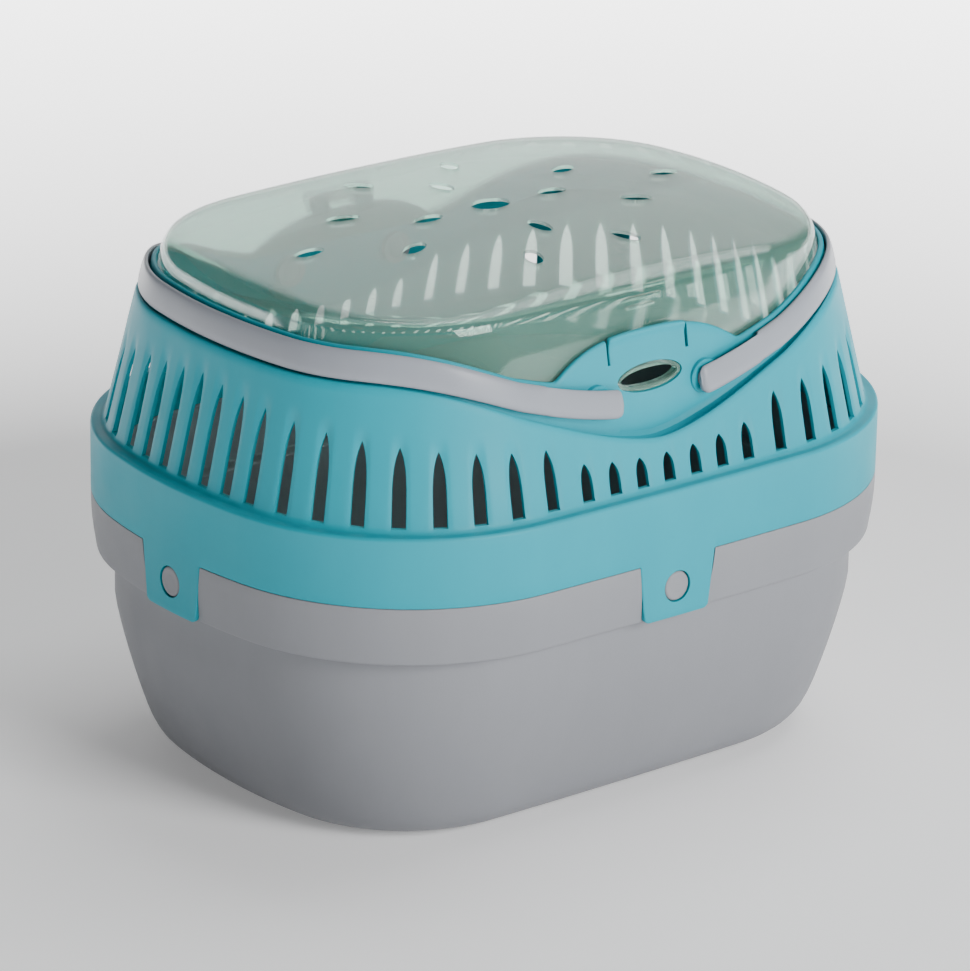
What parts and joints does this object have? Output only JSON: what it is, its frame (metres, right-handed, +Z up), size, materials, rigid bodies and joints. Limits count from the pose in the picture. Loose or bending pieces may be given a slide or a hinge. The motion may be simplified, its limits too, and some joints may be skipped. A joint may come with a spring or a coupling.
{
  "type": "small pet carrier",
  "caption": "Small pet carrier with a tapering tub, a slotted housing that snaps on it, a clear vented lid hinged at the back and swing-up carry handles.",
  "frame": {"origin": "middle of the underside of the tub's foot", "axes": "+X along the long axis towards the right end, -Y towards the front with the latch, +Z up"},
  "size_m": [0.3, 0.23, 0.213],
  "materials": {
    "grey_plastic": "satin",
    "teal_plastic": "satin",
    "clear_plastic": "gloss",
    "handle_plastic": "satin"
  },
  "bodies": {
    "shell": {"tub": "grey_plastic", "housing": "teal_plastic", "lid_hinge_pin": "grey_plastic"},
    "lid": {"lid": "clear_plastic"},
    "latch": {"latch_tab": "teal_plastic"},
    "left_bow": {"left_handle": "handle_plastic", "pivot_cap_left_front": "handle_plastic", "pivot_cap_left_back": "handle_plastic"},
    "right_bow": {"right_handle": "handle_plastic", "pivot_cap_right_front": "handle_plastic", "pivot_cap_right_back": "handle_plastic"},
    "front_tab": {"snap_tab_front": "teal_plastic"},
    "right_tab": {"snap_tab_right": "teal_plastic"},
    "back_tab": {"snap_tab_back": "teal_plastic"},
    "left_tab": {"snap_tab_left": "teal_plastic"}
  },
  "joints": [
    {"name": "lid_hinge", "type": "hinge", "parent": "shell", "child": "lid", "pos_m": [0, 0.097, 0.1924], "axis": [1, 0, 0], "range_deg": [-100, 0]},
    {"name": "left_handle_swing", "type": "hinge", "parent": "shell", "child": "left_bow", "pos_m": [-0.026, 0, 0.1661], "axis": [0, 1, 0], "range_deg": [0, 85]},
    {"name": "right_handle_swing", "type": "hinge", "parent": "shell", "child": "right_bow", "pos_m": [0.026, 0, 0.1661], "axis": [0, -1, 0], "range_deg": [0, 85]},
    {"name": "latch_flex", "type": "hinge", "parent": "shell", "child": "latch", "pos_m": [0, -0.0937, 0.1784], "axis": [1, 0, 0], "range_deg": [0, 8], "stiffness_Nm_per_rad": 0.5},
    {"name": "front_tab_flex", "type": "hinge", "parent": "shell", "child": "front_tab", "pos_m": [0, -0.1139, 0.1064], "axis": [-1, 0, 0], "range_deg": [0, 12], "stiffness_Nm_per_rad": 0.5},
    {"name": "right_tab_flex", "type": "hinge", "parent": "shell", "child": "right_tab", "pos_m": [0.1489, 0, 0.1064], "axis": [0, -1, 0], "range_deg": [0, 12], "stiffness_Nm_per_rad": 0.5},
    {"name": "back_tab_flex", "type": "hinge", "parent": "shell", "child": "back_tab", "pos_m": [0, 0.1139, 0.1064], "axis": [1, 0, 0], "range_deg": [0, 12], "stiffness_Nm_per_rad": 0.5},
    {"name": "left_tab_flex", "type": "hinge", "parent": "shell", "child": "left_tab", "pos_m": [-0.1489, 0, 0.1064], "axis": [0, 1, 0], "range_deg": [0, 12], "stiffness_Nm_per_rad": 0.5}
  ]
}
